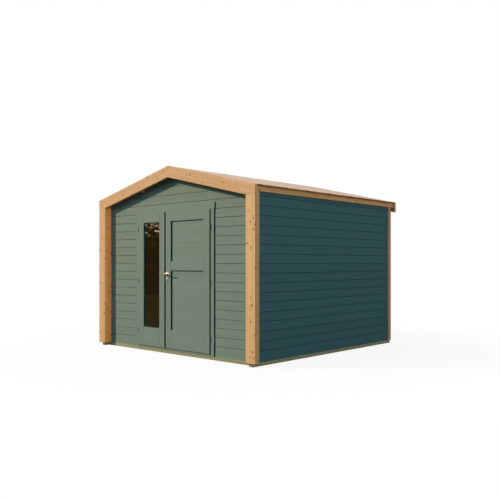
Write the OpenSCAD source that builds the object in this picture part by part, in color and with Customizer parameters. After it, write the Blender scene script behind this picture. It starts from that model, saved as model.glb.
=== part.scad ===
// Gabled garden shed with a timber portal in front of a boarded wall and an uneven pair of doors.
// Millimetres, +X to the right along the front, +Y to the back, +Z up, ground at z = 0.

/* [Overall] */
// Width over the portal's posts, which is also the roof's width
shed_w = 3040; // [2600:10:3600]
// Length from the portal's front face to the back of the rear rafters
shed_l = 3130; // [2400:10:4200]
// Height of the roof's top edge at the eaves above the top of the door casing
eaves_rise = 152; // [120:1:400]
// Roof pitch in degrees
pitch = 13.1; // [9:0.1:25]

/* [Base] */
// Height of the base beams
base_h = 42; // [30:1:90]
// Width of the base beams
beam_w = 58; // [45:1:95]
// Distance of the side beams' ends behind the portal's front face
beam_setback = 24; // [0:1:40]
// How far the front beam stands out from the front wall
beam_proud = 8; // [0:1:28]
// Number of bearers between the front and the rear beam
bearer_count = 3; // [1:1:6]
// Thickness of the floor boards
floor_t = 19; // [15:1:28]

/* [Walls] */
// Thickness of the wall boards
wall_t = 28; // [19:1:45]
// Distance of the side walls in from the portal's outer sides
wall_inset = 53; // [35:1:90]
// Distance of the front wall's face behind the portal's front face
porch_d = 106; // [80:1:200]
// Distance of the rear wall's face in from the back of the rear rafters
rear_overhang = 103; // [80:1:250]
// Thickness of the corner trims
trim_t = 18; // [12:1:26]
// Width of the rear corner trims
trim_w = 80; // [70:1:140]
// How far the front corner trims reach back over the side walls
front_trim_lap = 9; // [5:1:60]

/* [Portal and rafters] */
// Width of the posts, seen from the front
post_w = 145; // [95:1:200]
// Thickness of the posts and rafters, front to back
portal_t = 45; // [28:1:70]
// Depth of the rafters, square to the slope
rafter_h = 145; // [110:1:160]

/* [Roof] */
// Thickness of the roof boards
deck_t = 18; // [15:1:28]
// Width of the purlins
purlin_w = 45; // [35:1:70]
// Gap between the roof boards and what they lie on
roof_fit = 0.3; // [0.1:0.1:0.8]
// Depth of the purlins on their lower side
purlin_h = 120; // [80:1:125]
// Distance of the two side purlins from the middle
purlin_x = 630; // [400:5:680]
// Clearance at the purlins' sides in the gable notches
notch_fit = 0.3; // [0.1:0.1:1]
// Thickness of the eaves fascias
fascia_t = 28; // [20:1:40]
// Height of the eaves fascias under the roof boards
fascia_h = 65; // [45:1:110]

/* [Doorway] */
// Distance of the doorway's middle to the right of the shed's middle
door_x = -2; // [-60:1:60]
// Width over both leaves, with the gap between them
door_w = 1400; // [1200:5:1600]
// Gap between the leaves and the frame
frame_gap = 5; // [5:0.5:8]
// Thickness of the door lining
jamb_t = 28; // [20:1:40]
// Width of the side casings
casing_w = 62; // [40:1:90]
// Thickness of the casing
casing_t = 14; // [12:1:30]
// Height of the casing's head board
head_h = 82; // [60:1:90]
// How far the head board reaches past the side casings
head_lap = 10; // [0:1:30]
// Height of the threshold
threshold_h = 24; // [20:1:40]

/* [Leaves] */
// Height of the leaves
leaf_h = 1772; // [1650:1:1780]
// Thickness of the leaves
leaf_t = 34; // [34:1:50]
// How far the leaves stand out from the casing
leaf_proud = 12; // [5:1:20]
// How far the leaves' front laps up over the head board
top_lip = 9; // [6:1:20]
// Width of the left leaf
left_leaf_w = 564; // [480:1:640]
// Gap between the two leaves
meeting_gap = 8; // [7.5:0.5:12]
// Width of the stiles at the hinges
hinge_stile_w = 113; // [80:1:130]
// Width of the left leaf's meeting stile
left_meeting_w = 121; // [80:1:130]
// Width of the right leaf's meeting stile
right_meeting_w = 103; // [80:1:130]
// Height of the top rails
top_rail_h = 116; // [80:1:140]
// Height of the bottom rails
bottom_rail_h = 240; // [120:1:300]
// Height of the middle rail
middle_rail_h = 119; // [80:1:160]
// Height of the middle rail's lower edge above the leaf's foot
middle_rail_up = 1017; // [800:1:1200]
// Thickness of the boarded panels
panel_t = 12; // [10:1:16]
// Depth of the panels behind the leaf's face
panel_recess = 18; // [8:1:20]
// Width of the strip on the left leaf's meeting stile
strip_w = 34; // [20:1:60]
// Thickness of that strip
strip_t = 13; // [5:1:14]
// Thickness of the pane
glass_t = 5; // [4:0.5:8]
// Width of the glazing beads
bead_w = 8; // [6:1:24]
// Depth of the glazing beads
bead_d = 6; // [6:0.5:14]
// Clearance between the pane and what holds it
glass_fit = 0.3; // [0.1:0.1:0.8]

/* [Hinges and handle] */
// Radius of the hinge barrels
barrel_r = 6; // [6:0.5:9]
// Gap between the barrels and the leaf's edge, and between them and the casing
barrel_gap = 2; // [1:0.1:3]
// Height of a hinge barrel
barrel_h = 60; // [40:1:110]
// Gap between a barrel's two knuckles
knuckle_gap = 0.8; // [0.5:0.1:1.5]
// Thickness of the fins that carry the knuckles
fin_t = 4; // [3:0.5:6]
// Radius of the hinge pins
pin_r = 3.5; // [2.5:0.1:4]
// Running clearance of the pins, on the radius
pin_fit = 0.08; // [0.03:0.01:0.1]
// Height of the lower hinges' middle above the leaf's foot
hinge_low = 189; // [120:1:300]
// Distance of the upper hinges' middle below the leaf's top
hinge_high = 207; // [120:1:300]
// Distance of the lever's spindle from the leaf's meeting edge
backset = 30; // [28:1:55]
// Height of the spindle above the leaf's foot
lever_up = 972; // [850:1:1100]
// Length of the lever's grip from the spindle to its tip
lever_l = 112; // [80:1:135]
// Radius of the lever's grip and neck
lever_r = 9; // [7:0.5:11]
// Distance from the leaf's face to the grip's middle
lever_out = 48; // [38:1:60]
// Radius of the spindle
spindle_r = 4; // [3.5:0.1:5]
// Clearance around the lever's neck and spindle
lever_fit = 0.3; // [0.2:0.1:0.6]
// Radius of the round roses
rose_r = 25; // [20:0.5:27]
// Thickness of the roses
rose_t = 8; // [4:0.5:12]
// Distance of the lock cylinder below the spindle
lock_drop = 74; // [60:1:95]
// Radius of the lock cylinder
lock_r = 9; // [7:0.5:11]
// How far the lock cylinder stands out from its roses
lock_proud = 3; // [1:0.5:6]

/* [Hidden] */
$fn = 48;

natural_wood = [0.80, 0.62, 0.42];
bare_boards = [0.82, 0.73, 0.64];
green_paint = [0.46, 0.51, 0.44];
treated_wood = [0.55, 0.54, 0.38];
satin_metal = [0.72, 0.70, 0.68];
bronze_metal = [0.35, 0.24, 0.20];
dark_glass = [0.15, 0.16, 0.14];

// Planes along the length
front_y = -shed_l / 2;
portal_back = front_y + portal_t;
wall_front = front_y + porch_d;
wall_back = wall_front + wall_t;
rear_y = shed_l / 2;
rafter_front = rear_y - portal_t;
rear_face = rear_y - rear_overhang;
rear_inner = rear_face - wall_t;
trim_back = rear_face + trim_t;
casing_face = wall_front - casing_t;
leaf_face = casing_face - leaf_proud;
leaf_back = leaf_face + leaf_t;

// Planes across the width
half_w = shed_w / 2;
post_x = half_w - post_w;
wall_x = half_w - wall_inset;
wall_inner = wall_x - wall_t;
beam_x = wall_x - beam_w;
fascia_x = wall_x + fascia_t;

// Doorway, measured from its own middle
floor_z = base_h + floor_t;
sill_z = base_h + threshold_h;
leaf_z = sill_z + frame_gap;
leaf_top = leaf_z + leaf_h;
head_z = leaf_top + frame_gap;
half_door = door_w / 2;
half_opening = half_door + frame_gap;
half_lining = half_opening + jamb_t;
lining_top = head_z + jamb_t;
half_casing = half_opening + casing_w;
lip_top = leaf_top + top_lip;
lip_back = casing_face - frame_gap;

// Roof heights, as functions of the distance from the middle
slope = tan(pitch);
eaves_z = head_z + head_h + eaves_rise;
apex_z = eaves_z + half_w * slope;
deck_v = deck_t / cos(pitch);
rafter_v = rafter_h / cos(pitch);
function roof_top(x) = apex_z - abs(x) * slope;
function soffit(x) = roof_top(x) - deck_v - roof_fit;
seat_z = roof_top(post_x) - rafter_v;
purlin_z = soffit(purlin_x + purlin_w / 2) - purlin_h;
ridge_z = soffit(purlin_w / 2) - purlin_h;
fascia_z = soffit(fascia_x) - fascia_h;

// Leaves, measured from the doorway's middle
left_edge = -half_door + left_leaf_w;
right_edge = left_edge + meeting_gap;
left_open_0 = -half_door + hinge_stile_w;
left_open_1 = left_edge - left_meeting_w;
right_open_0 = right_edge + right_meeting_w;
right_open_1 = half_door - hinge_stile_w;
open_bottom = leaf_z + bottom_rail_h;
open_top = leaf_top - top_rail_h;
middle_bottom = leaf_z + middle_rail_up;
middle_top = middle_bottom + middle_rail_h;
glass_mid = leaf_face + leaf_t / 2;

// Hinge axes stand in front of the casing, beside the leaf's edge
axis_x = half_door + barrel_gap + barrel_r;
axis_y = casing_face - barrel_gap - barrel_r;
leaf_fin_y = max(leaf_face, axis_y - fin_t / 2);
hinge_mid = leaf_z + (hinge_low + leaf_h - hinge_high) / 2;
hinge_heights = [leaf_z + hinge_low, hinge_mid, leaf_top - hinge_high];
lever_x = right_edge + backset;
lever_z = leaf_z + lever_up;
lock_z = lever_z - lock_drop;

// Box between two corners
module slab(low, high) {
    translate(low) cube(high - low);
}

// Outline in X and Z carried along Y
module along_y(y0, y1) {
    translate([0, y1, 0]) rotate([90, 0, 0]) linear_extrude(y1 - y0) children();
}

// Round bar along Y
module bar_y(x, z, r, y0, y1) {
    translate([x, y1, z]) rotate([90, 0, 0]) cylinder(h = y1 - y0, r = r);
}

module to_left() {
    mirror([1, 0, 0]) children();
}

module both_sides() {
    children();
    to_left() children();
}

module at_door() {
    translate([door_x, 0, 0]) children();
}

// Base and floor

module side_beam() {
    color(treated_wood) slab([beam_x, front_y + beam_setback, 0], [wall_x, trim_back, base_h]);
}

module base_beam_left() {
    to_left() side_beam();
}

module base_beam_right() {
    side_beam();
}

module cross_beam(y) {
    color(treated_wood) slab([-beam_x, y, 0], [beam_x, y + beam_w, base_h]);
}

module base_beam_front() {
    cross_beam(wall_front - beam_proud);
}

module base_beam_rear() {
    cross_beam(trim_back - beam_w);
}

module floor_bearers() {
    first = wall_front - beam_proud;
    pace = (trim_back - beam_w - first) / (bearer_count + 1);
    for (i = [1 : bearer_count]) cross_beam(first + i * pace);
}

module floor_deck() {
    color(bare_boards) slab([-wall_inner, wall_back, base_h], [wall_inner, rear_inner, floor_z]);
}

// Walls

// Front or rear wall outline from x0 to x1, up to the underside of the roof boards
module gable_outline(x0, x1, z0) {
    ridge = x0 < 0 && x1 > 0 ? [[0, soffit(0)]] : [];
    polygon(concat([[x0, z0], [x0, soffit(x0)]], ridge, [[x1, soffit(x1)], [x1, z0]]));
}

module purlin_notches() {
    half = purlin_w / 2 + notch_fit;
    translate([-half, ridge_z]) square([2 * half, apex_z - ridge_z]);
    for (side = [-1, 1]) translate([side * purlin_x - half, purlin_z]) square([2 * half, apex_z - purlin_z]);
}

module front_wall_left() {
    color(green_paint) along_y(wall_front, wall_back)
        gable_outline(-wall_inner, door_x - half_lining, base_h);
}

module front_wall_right() {
    color(green_paint) along_y(wall_front, wall_back)
        gable_outline(door_x + half_lining, wall_inner, base_h);
}

module front_gable() {
    color(green_paint) along_y(wall_front, wall_back) difference() {
        gable_outline(door_x - half_lining, door_x + half_lining, lining_top);
        purlin_notches();
    }
}

module side_wall() {
    color(green_paint) along_y(wall_front, rear_face) gable_outline(wall_inner, wall_x, base_h);
}

module left_wall() {
    to_left() side_wall();
}

module right_wall() {
    side_wall();
}

module rear_wall() {
    color(green_paint) along_y(rear_inner, rear_face) difference() {
        gable_outline(-wall_inner, wall_inner, base_h);
        purlin_notches();
    }
}

module corner_studs() {
    color(natural_wood) both_sides() along_y(portal_back, wall_front) gable_outline(post_x, wall_x, base_h);
}

module front_corner_trims() {
    color(natural_wood) both_sides()
        slab([wall_x, portal_back, base_h], [wall_x + trim_t, wall_front + front_trim_lap, fascia_z]);
}

module rear_side_trims() {
    color(natural_wood) both_sides()
        slab([wall_x, trim_back - trim_w, base_h], [wall_x + trim_t, trim_back, fascia_z]);
}

// The boards on the back butt against the boards on the side
module rear_back_trims() {
    color(natural_wood) both_sides()
        slab([wall_x + trim_t - trim_w, rear_face, base_h], [wall_x, trim_back, fascia_z]);
}

// Portal and rafters

module portal_post() {
    color(natural_wood) slab([post_x, front_y, base_h], [half_w, portal_back, seat_z]);
}

module portal_post_left() {
    to_left() portal_post();
}

module portal_post_right() {
    portal_post();
}

// The rafter meets its twin at a plumb mitre and sits on the post with a level seat
module portal_rafter() {
    color(natural_wood) along_y(front_y, portal_back)
        polygon([[0, apex_z], [half_w, eaves_z], [half_w, seat_z], [post_x, seat_z], [0, apex_z - rafter_v]]);
}

module portal_rafter_left() {
    to_left() portal_rafter();
}

module portal_rafter_right() {
    portal_rafter();
}

module rear_rafter() {
    color(natural_wood) along_y(rafter_front, rear_y)
        polygon([[0, apex_z], [half_w, eaves_z], [half_w, eaves_z - rafter_v], [0, apex_z - rafter_v]]);
}

module rear_rafter_left() {
    to_left() rear_rafter();
}

module rear_rafter_right() {
    rear_rafter();
}

// Roof

module ridge_purlin() {
    half = purlin_w / 2;
    color(natural_wood) along_y(portal_back, rafter_front) gable_outline(-half, half, ridge_z);
}

module side_purlins() {
    half = purlin_w / 2;
    color(natural_wood) both_sides() along_y(portal_back, rafter_front)
        gable_outline(purlin_x - half, purlin_x + half, purlin_z);
}

module roof_deck() {
    color(bare_boards) along_y(portal_back, rafter_front)
        polygon([[0, apex_z], [half_w, eaves_z], [half_w, eaves_z - deck_v], [0, apex_z - deck_v]]);
}

module roof_deck_left() {
    to_left() roof_deck();
}

module roof_deck_right() {
    roof_deck();
}

module eaves_fascia() {
    color(natural_wood) along_y(portal_back, rafter_front) gable_outline(wall_x, fascia_x, fascia_z);
}

module eaves_fascia_left() {
    to_left() eaves_fascia();
}

module eaves_fascia_right() {
    eaves_fascia();
}

// Door frame

module door_jambs() {
    color(green_paint) at_door() both_sides()
        slab([half_opening, wall_front, base_h], [half_lining, wall_back, head_z]);
}

module door_head_jamb() {
    color(green_paint) at_door()
        slab([-half_lining, wall_front, head_z], [half_lining, wall_back, lining_top]);
}

module side_casing() {
    color(green_paint) slab([half_opening, casing_face, base_h], [half_casing, wall_front, head_z]);
}

module casing_left() {
    at_door() to_left() side_casing();
}

module casing_right() {
    at_door() side_casing();
}

module casing_head() {
    half = half_casing + head_lap;
    color(green_paint) at_door() slab([-half, casing_face, head_z], [half, wall_front, head_z + head_h]);
}

module threshold() {
    color(green_paint) at_door()
        slab([-half_opening, casing_face, base_h], [half_opening, wall_back, sill_z]);
}

// Lower knuckles with their pins, on fins that stand on the casing
module frame_knuckle(z) {
    low = z - barrel_h / 2;
    split = z - knuckle_gap / 2;
    pin_top = z + barrel_h / 2 - pin_r;
    translate([axis_x, axis_y, low]) cylinder(h = split - low, r = barrel_r);
    translate([axis_x, axis_y, low]) cylinder(h = pin_top - low, r = pin_r);
    slab([axis_x, axis_y, low], [axis_x + fin_t, casing_face, split]);
}

module frame_knuckles() {
    color(bronze_metal) at_door() both_sides() for (z = hinge_heights) frame_knuckle(z);
}

// Upper knuckles, bored for the pins, on fins that stand on the leaf's edge
module leaf_knuckle(z) {
    top = z + barrel_h / 2;
    split = z + knuckle_gap / 2;
    bore_h = top - pin_r / 2 - split;
    difference() {
        union() {
            translate([axis_x, axis_y, split]) cylinder(h = top - split, r = barrel_r);
            slab([half_door, leaf_fin_y, split], [axis_x, leaf_fin_y + fin_t, top]);
        }
        translate([axis_x, axis_y, split]) cylinder(h = bore_h, r = pin_r + pin_fit);
    }
}

module right_leaf_knuckles() {
    color(bronze_metal) at_door() for (z = hinge_heights) leaf_knuckle(z);
}

module left_leaf_knuckles() {
    color(bronze_metal) at_door() to_left() for (z = hinge_heights) leaf_knuckle(z);
}

// Piece of a leaf from x0 to x1 that reaches its top, with the lip that laps over the head board
module lipped(x0, x1, z0) {
    slab([x0, leaf_face, z0], [x1, leaf_back, leaf_top]);
    slab([x0, leaf_face, z0], [x1, lip_back, lip_top]);
}

// Left leaf

module left_leaf_stiles() {
    color(green_paint) at_door() {
        lipped(-half_door, left_open_0, leaf_z);
        lipped(left_open_1, left_edge, leaf_z);
    }
}

module left_leaf_rails() {
    color(green_paint) at_door() {
        slab([left_open_0, leaf_face, leaf_z], [left_open_1, leaf_back, open_bottom]);
        lipped(left_open_0, left_open_1, open_top);
    }
}

module pane() {
    color(dark_glass) at_door()
        slab([left_open_0 + glass_fit, glass_mid - glass_t / 2, open_bottom + glass_fit],
             [left_open_1 - glass_fit, glass_mid + glass_t / 2, open_top - glass_fit]);
}

// One frame of beads in front of the pane and one behind it
module bead_frame(y) {
    difference() {
        slab([left_open_0, y, open_bottom], [left_open_1, y + bead_d, open_top]);
        slab([left_open_0 + bead_w, y - bead_d, open_bottom + bead_w],
             [left_open_1 - bead_w, y + 2 * bead_d, open_top - bead_w]);
    }
}

module glazing_beads() {
    color(green_paint) at_door() {
        bead_frame(glass_mid - glass_t / 2 - bead_d);
        bead_frame(glass_mid + glass_t / 2);
    }
}

module meeting_strip() {
    color(green_paint) at_door()
        slab([left_edge - strip_w, leaf_face - strip_t, leaf_z], [left_edge, leaf_face, lip_top]);
}

// Right leaf

module right_leaf_stiles() {
    color(green_paint) at_door() {
        lipped(right_open_1, half_door, leaf_z);
        difference() {
            lipped(right_edge, right_open_0, leaf_z);
            bar_y(lever_x, lever_z, spindle_r + lever_fit, leaf_face - leaf_t, leaf_back + leaf_t);
            bar_y(lever_x, lock_z, lock_r + lever_fit, leaf_face - leaf_t, leaf_back + leaf_t);
        }
    }
}

module right_rail(z0, z1) {
    slab([right_open_0, leaf_face, z0], [right_open_1, leaf_back, z1]);
}

module right_leaf_rails() {
    color(green_paint) at_door() {
        right_rail(leaf_z, open_bottom);
        right_rail(middle_bottom, middle_top);
        lipped(right_open_0, right_open_1, open_top);
    }
}

module right_panel(z0, z1) {
    front = leaf_face + panel_recess;
    slab([right_open_0, front, z0], [right_open_1, front + panel_t, z1]);
}

module right_leaf_panels() {
    color(green_paint) at_door() {
        right_panel(open_bottom, middle_bottom);
        right_panel(middle_top, open_top);
    }
}

// Handle

module rose(z, bore, y) {
    difference() {
        bar_y(lever_x, z, rose_r, y, y + rose_t);
        bar_y(lever_x, z, bore, y - rose_t, y + 2 * rose_t);
    }
}

module handle_roses() {
    color(satin_metal) at_door() for (y = [leaf_face - rose_t, leaf_back]) {
        rose(lever_z, lever_r + lever_fit, y);
        rose(lock_z, lock_r + lever_fit, y);
    }
}

module lock_cylinder() {
    reach = rose_t + lock_proud;
    color(satin_metal) at_door() bar_y(lever_x, lock_z, lock_r, leaf_face - reach, leaf_back + reach);
}

// Neck and grip on one face of the leaf, with the grip's middle at y
module grip(y, neck_0, neck_1) {
    bar_y(lever_x, lever_z, lever_r, neck_0, neck_1);
    translate([lever_x, y, lever_z]) {
        sphere(r = lever_r);
        rotate([0, 90, 0]) cylinder(h = lever_l - lever_r, r = lever_r);
        translate([lever_l - lever_r, 0, 0]) sphere(r = lever_r);
    }
}

module lever() {
    outer = leaf_face - lever_out;
    inner = leaf_back + lever_out;
    color(satin_metal) at_door() {
        grip(outer, outer, leaf_face - lever_fit);
        grip(inner, leaf_back + lever_fit, inner);
        bar_y(lever_x, lever_z, spindle_r, outer, inner);
    }
}

base_beam_left();
base_beam_right();
base_beam_front();
base_beam_rear();
floor_bearers();
floor_deck();
front_wall_left();
front_wall_right();
front_gable();
left_wall();
right_wall();
rear_wall();
corner_studs();
front_corner_trims();
rear_side_trims();
rear_back_trims();
portal_post_left();
portal_post_right();
portal_rafter_left();
portal_rafter_right();
rear_rafter_left();
rear_rafter_right();
ridge_purlin();
side_purlins();
roof_deck_left();
roof_deck_right();
eaves_fascia_left();
eaves_fascia_right();
door_jambs();
door_head_jamb();
casing_left();
casing_right();
casing_head();
threshold();
frame_knuckles();
left_leaf_stiles();
left_leaf_rails();
pane();
glazing_beads();
meeting_strip();
left_leaf_knuckles();
right_leaf_stiles();
right_leaf_rails();
right_leaf_panels();
right_leaf_knuckles();
handle_roses();
lock_cylinder();
lever();
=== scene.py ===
import math
import random

import bmesh
import bpy
from mathutils import Matrix, Vector


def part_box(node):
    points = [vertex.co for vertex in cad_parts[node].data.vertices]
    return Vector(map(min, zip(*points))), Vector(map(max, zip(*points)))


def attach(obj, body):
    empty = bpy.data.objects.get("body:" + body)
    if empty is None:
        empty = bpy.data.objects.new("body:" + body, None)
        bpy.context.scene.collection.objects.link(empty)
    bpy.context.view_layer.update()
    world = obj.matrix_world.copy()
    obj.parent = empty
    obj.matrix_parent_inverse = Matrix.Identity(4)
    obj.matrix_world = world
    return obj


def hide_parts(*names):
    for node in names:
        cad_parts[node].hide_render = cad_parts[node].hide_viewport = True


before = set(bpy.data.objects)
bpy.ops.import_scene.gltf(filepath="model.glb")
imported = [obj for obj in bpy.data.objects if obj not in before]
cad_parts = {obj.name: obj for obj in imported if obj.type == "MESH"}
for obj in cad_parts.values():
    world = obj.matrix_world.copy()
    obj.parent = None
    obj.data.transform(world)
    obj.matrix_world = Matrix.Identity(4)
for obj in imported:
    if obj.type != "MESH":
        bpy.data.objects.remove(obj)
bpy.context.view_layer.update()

# Base beams. Four lengths of pressure-treated softwood lie on the ground and carry the floor,
# the walls and the portal's posts. They are planed square, with every edge lightly eased.
# The side pair takes a darker copy of that timber as painted shade, and runs past the front and rear ones.
BEAM_EASING = 0.003
ALONG_FRONT = 0
FRONT_TO_BACK = 1
UPRIGHT = 2
LONG_EDGES = "long"
ALL_EDGES = "all"
AS_LAID = (0, 1, 2)
MERGE_GAP = 1e-6
SHARP_ANGLE = 0.15
RUNS_ALONG = 0.9
LOOKS_THAT_WAY = 0.8
LOG_RUN = 60.0
OFF_HEART = (0.03, 0.12)
dice = random.Random(31)


def board_place(corner, along, across):
    """Place of a board: local X runs along its grain, Y across its face and Z out of that face."""
    along = Vector(along)
    across = Vector(across)
    place = Matrix((along, across, along.cross(across))).transposed().to_4x4()
    place.translation = corner
    return place


def points_of(items):
    """The points among the items that an operator gives back."""
    return [item for item in items if isinstance(item, bmesh.types.BMVert)]


def edges_of(items):
    """The edges among the items that an operator gives back."""
    return [item for item in items if isinstance(item, bmesh.types.BMEdge)]


def join_to(piece, part):
    """Adds a finished part to the piece that it belongs to."""
    carrier = bpy.data.meshes.new("part")
    part.to_mesh(carrier)
    part.free()
    piece.from_mesh(carrier)
    bpy.data.meshes.remove(carrier)


def round_over(part, edges, easing):
    """Rounds a part's edges over in two small steps."""
    bmesh.ops.bevel(
        part,
        geom=edges,
        offset=easing,
        offset_type="OFFSET",
        affect="EDGES",
        segments=2,
        profile=0.5,
        material=-1,
        clamp_overlap=True,
    )


def lay_board(
    piece, place, outline, length, easing, eased=ALL_EDGES, cuts=(), turn=AS_LAID, ends=0, back=0, front=0
):
    """One board: its outline, drawn across and out, is carried along X, cut, eased and added to the piece.
    Its grain and tone are kept on its points, so that every board shows timber of its own."""
    board = bmesh.new()
    end = board.faces.new([board.verts.new((0.0, across, out)) for across, out in outline])
    carried = bmesh.ops.extrude_face_region(board, geom=[end])["geom"]
    bmesh.ops.translate(board, vec=(length, 0.0, 0.0), verts=points_of(carried))
    bmesh.ops.recalc_face_normals(board, faces=board.faces[:])
    into = place.inverted()
    for point, normal in cuts:
        sawn = bmesh.ops.bisect_plane(
            board,
            geom=board.verts[:] + board.edges[:] + board.faces[:],
            dist=MERGE_GAP,
            plane_co=into @ Vector(point),
            plane_no=into.to_3x3() @ Vector(normal),
            clear_outer=True,
        )["geom_cut"]
        rim = edges_of(sawn)
        if rim:
            bmesh.ops.contextual_create(board, geom=rim)
    if not board.faces:
        board.free()
        return
    bmesh.ops.recalc_face_normals(board, faces=board.faces[:])
    sharp = [edge for edge in board.edges if edge.is_convex and edge.calc_face_angle(0.0) > SHARP_ANGLE]
    if eased == LONG_EDGES:
        runs = [(edge, (edge.verts[0].co - edge.verts[1].co).normalized()) for edge in sharp]
        sharp = [edge for edge, run in runs if abs(run.x) > RUNS_ALONG]
    round_over(board, sharp, easing)
    grain = board.verts.layers.float_vector.new("grain")
    tone = board.verts.layers.float.new("tone")
    heart = dice.uniform(0.0, 2.0 * math.pi)
    off_heart = dice.uniform(*OFF_HEART)
    start = Vector((dice.uniform(0.0, LOG_RUN), off_heart * math.cos(heart), off_heart * math.sin(heart)))
    shade = dice.random()
    for vert in board.verts:
        vert[grain] = Vector([vert.co[axis] for axis in turn]) + start
        vert[tone] = shade
    for face in board.faces:
        if abs(face.normal[turn[0]]) > LOOKS_THAT_WAY:
            face.material_index = ends
        elif face.normal.z < -LOOKS_THAT_WAY:
            face.material_index = back
        elif face.normal.z > LOOKS_THAT_WAY:
            face.material_index = front
    bmesh.ops.transform(board, matrix=place, verts=board.verts[:])
    join_to(piece, board)


def square(wide, high):
    """The outline of a square-edged board."""
    return [(0.0, 0.0), (wide, 0.0), (wide, high), (0.0, high)]


def box_board(piece, low, high, axis, easing, **ways):
    """A square-edged board that fills the box between two corners, with its grain along one axis."""
    low = Vector(low)
    size = Vector(high) - low
    across = (axis + 1) % 3
    out = (axis + 2) % 3
    axes = Matrix.Identity(3)
    place = board_place(low, axes[axis], axes[across])
    lay_board(piece, place, square(size[across], size[out]), size[axis], easing, **ways)


def put_in_scene(name, data):
    """A new object in the scene, with its mesh, lamp or camera."""
    made = bpy.data.objects.new(name, data)
    bpy.context.scene.collection.objects.link(made)
    return made


def set_up(shape, name, body, slot, materials, *nodes):
    """Makes a finished mesh an object that moves with its body and stands for its CAD nodes."""
    mesh = bpy.data.meshes.new(name)
    shape.to_mesh(mesh)
    shape.free()
    for material in materials:
        mesh.materials.append(material)
    piece = put_in_scene(name, mesh)
    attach(piece, body)
    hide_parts(*nodes)


def feed(tree, shader_node, inputs):
    """Sets inputs of a shader node, each to a plain value or to another node's output."""
    for label, value in inputs.items():
        if isinstance(value, bpy.types.NodeSocket):
            tree.links.new(value, shader_node.inputs[label])
        else:
            shader_node.inputs[label].default_value = value


def add_node(tree, kind, inputs=None, **settings):
    """One shader node with its settings and inputs."""
    made = tree.nodes.new(kind)
    for label, value in settings.items():
        setattr(made, label, value)
    feed(tree, made, inputs or {})
    return made


def sum_of(tree, operation, first, second=0.0, third=0.0):
    """The output of one Math node."""
    return add_node(tree, "ShaderNodeMath", {0: first, 1: second, 2: third}, operation=operation).outputs[0]


def times(tree, first, second):
    """Two values multiplied."""
    return sum_of(tree, "MULTIPLY", first, second)


def vector_sum(tree, operation, first, second=(0.0, 0.0, 0.0)):
    """The output of one Vector Math node: a length or a dot product as a value, all else as a vector."""
    made = add_node(tree, "ShaderNodeVectorMath", {0: first, 1: second}, operation=operation)
    return made.outputs["Value" if operation in ("LENGTH", "DOT_PRODUCT") else "Vector"]


def ramp(tree, value, low, high, to_low=0.0, to_high=1.0):
    """A value eased smoothly from one range to another."""
    ranges = {"Value": value, "From Min": low, "From Max": high, "To Min": to_low, "To Max": to_high}
    return add_node(tree, "ShaderNodeMapRange", ranges, interpolation_type="SMOOTHSTEP").outputs[0]


def blend_colour(tree, share, first, second):
    """The output of one colour Mix node; a plain colour is given as red, green and blue."""
    first, second = [(*colour, 1.0) if isinstance(colour, tuple) else colour for colour in (first, second)]
    return add_node(tree, "ShaderNodeMix", {0: share, 6: first, 7: second}, data_type="RGBA").outputs[2]


def noise(tree, place, scale, detail, roughness=0.5):
    """The value of one Noise Texture node."""
    settings = {"Vector": place, "Scale": scale, "Detail": detail, "Roughness": roughness}
    return add_node(tree, "ShaderNodeTexNoise", settings).outputs[0]


def start_group(name, inputs, outputs):
    """An empty shader group with its named sockets, and its two end nodes. A colour makes a colour socket."""
    group = bpy.data.node_groups.new(name, "ShaderNodeTree")
    for in_out, sockets in (("INPUT", inputs), ("OUTPUT", outputs)):
        for label, value in sockets.items():
            kind = "NodeSocketColor" if isinstance(value, tuple) else "NodeSocketFloat"
            made = group.interface.new_socket(name=label, in_out=in_out, socket_type=kind)
            made.default_value = value
    return group, group.nodes.new("NodeGroupInput"), group.nodes.new("NodeGroupOutput")


def scaled_grain(tree, scale):
    """The board's own grain place, stretched along, across and through the board."""
    place = add_node(tree, "ShaderNodeAttribute", attribute_name="grain").outputs["Vector"]
    return vector_sum(tree, "MULTIPLY", place, scale)


# Growth rings round the board's heart, fine fibre along it, and broad paler and darker bands
RING_DRIFT = (0.8, 7.0, 7.0)
FIBRE_STRETCH = (5.0, 320.0, 320.0)
BAND_STRETCH = (0.55, 26.0, 26.0)
figure, figure_in, figure_out = start_group(
    "timber_figure",
    {"Ring Width": 0.007, "Wander": 0.016},
    {"Rings": 0.0, "Fibre": 0.0, "Bands": 0.0},
)
from_heart = vector_sum(figure, "LENGTH", scaled_grain(figure, (0.0, 1.0, 1.0)))
drift = sum_of(figure, "SUBTRACT", noise(figure, scaled_grain(figure, RING_DRIFT), 1.0, 3.0), 0.5)
radius = sum_of(figure, "ADD", from_heart, times(figure, drift, figure_in.outputs["Wander"]))
ring_count = sum_of(figure, "DIVIDE", radius, figure_in.outputs["Ring Width"])
late_wood = ramp(figure, sum_of(figure, "FRACT", ring_count), 0.3, 0.97)
fibre = noise(figure, scaled_grain(figure, FIBRE_STRETCH), 1.0, 2.0)
bands = ramp(figure, noise(figure, scaled_grain(figure, BAND_STRETCH), 1.0, 3.0), 0.3, 0.7)
feed(figure, figure_out, {"Rings": late_wood, "Fibre": fibre, "Bands": bands})

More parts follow.
